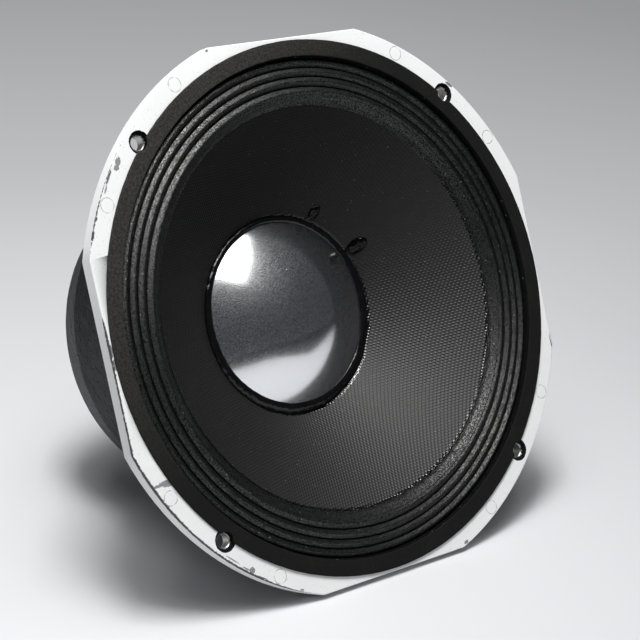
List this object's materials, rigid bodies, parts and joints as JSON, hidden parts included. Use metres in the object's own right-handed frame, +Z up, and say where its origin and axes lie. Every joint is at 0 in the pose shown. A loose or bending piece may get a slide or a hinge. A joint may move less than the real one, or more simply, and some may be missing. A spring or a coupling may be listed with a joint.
{
  "type": "loudspeaker driver",
  "caption": "Instrument loudspeaker driver with a cast frame, accordion surround, large metal dome and cast magnet pot, leaning back on its flange and pot.",
  "frame": {"origin": "on the floor, below the centre of the bounding box", "axes": "+X to the driver's right as seen from its front, along its lower flat; the cone faces -Y and up; +Z up"},
  "size_m": [0.2962, 0.2258, 0.2752],
  "materials": {
    "frame_paint": "cast aluminium, white paint, satin, chipped at the edges",
    "gasket_board": "black, matte",
    "doped_cloth": "black, doped, slightly glossy, speckled",
    "cone_paper": "charcoal, embossed lattice, satin",
    "dome_metal": "polished",
    "black_glue": "glossy",
    "former_film": "amber, satin",
    "coil_ribbon": "fine ribbed ribbon, varnished",
    "spider_cloth": "woven, resin-stiffened",
    "ring_board": "matte",
    "plate_steel": "machined, zinc plated",
    "magnet_alloy": "cast and ground",
    "pot_iron": "black paint over a rough casting",
    "screw_steel": "black oxide",
    "fibre_board": "fine grained",
    "nickel_brass": "nickel plated",
    "red_plastic": "glossy",
    "black_plastic": "glossy",
    "spring_steel": "bright",
    "tinned_brass": "tinned",
    "tinsel_copper": "braided"
  },
  "bodies": {
    "chassis": {"cast_frame": "frame_paint", "front_gasket": "gasket_board", "surround": "doped_cloth", "spider": "spider_cloth", "spider_ring": "ring_board", "top_plate": "plate_steel", "pole_piece": "plate_steel", "slug_magnet": "magnet_alloy", "magnet_pot": "pot_iron", "frame_screws": "screw_steel", "terminal_plate": "fibre_board", "terminal_screws": "spring_steel", "terminal_post_red": "nickel_brass", "terminal_post_black": "nickel_brass", "terminal_spring_red": "spring_steel", "terminal_spring_black": "spring_steel", "solder_tags": "tinned_brass", "lead_red": "tinsel_copper", "lead_black": "tinsel_copper"},
    "cone_assembly": {"cone": "cone_paper", "dome": "dome_metal", "dome_glue_ring": "black_glue", "coil_former": "former_film", "coil_winding": "coil_ribbon", "lead_eyelets": "tinned_brass", "lead_glue": "black_glue"},
    "button_red": {"terminal_button_red": "red_plastic"},
    "button_black": {"terminal_button_black": "black_plastic"}
  },
  "joints": [
    {"name": "cone_travel", "type": "slide", "parent": "chassis", "child": "cone_assembly", "axis": [0, -0.9185, 0.3953], "range_m": [-0.005, 0.005], "stiffness_N_per_m": 5000, "deforming": ["surround", "spider", "lead_red", "lead_black"]},
    {"name": "button_red_press", "type": "slide", "parent": "chassis", "child": "button_red", "axis": [-0.6356, -0.6539, -0.4105], "range_m": [0, 0.0025], "stiffness_N_per_m": 900, "springref_m": -0.002, "deforming": ["terminal_spring_red"]},
    {"name": "button_black_press", "type": "slide", "parent": "chassis", "child": "button_black", "axis": [-0.6356, -0.6539, -0.4105], "range_m": [0, 0.0025], "stiffness_N_per_m": 900, "springref_m": -0.002, "deforming": ["terminal_spring_black"]}
  ]
}
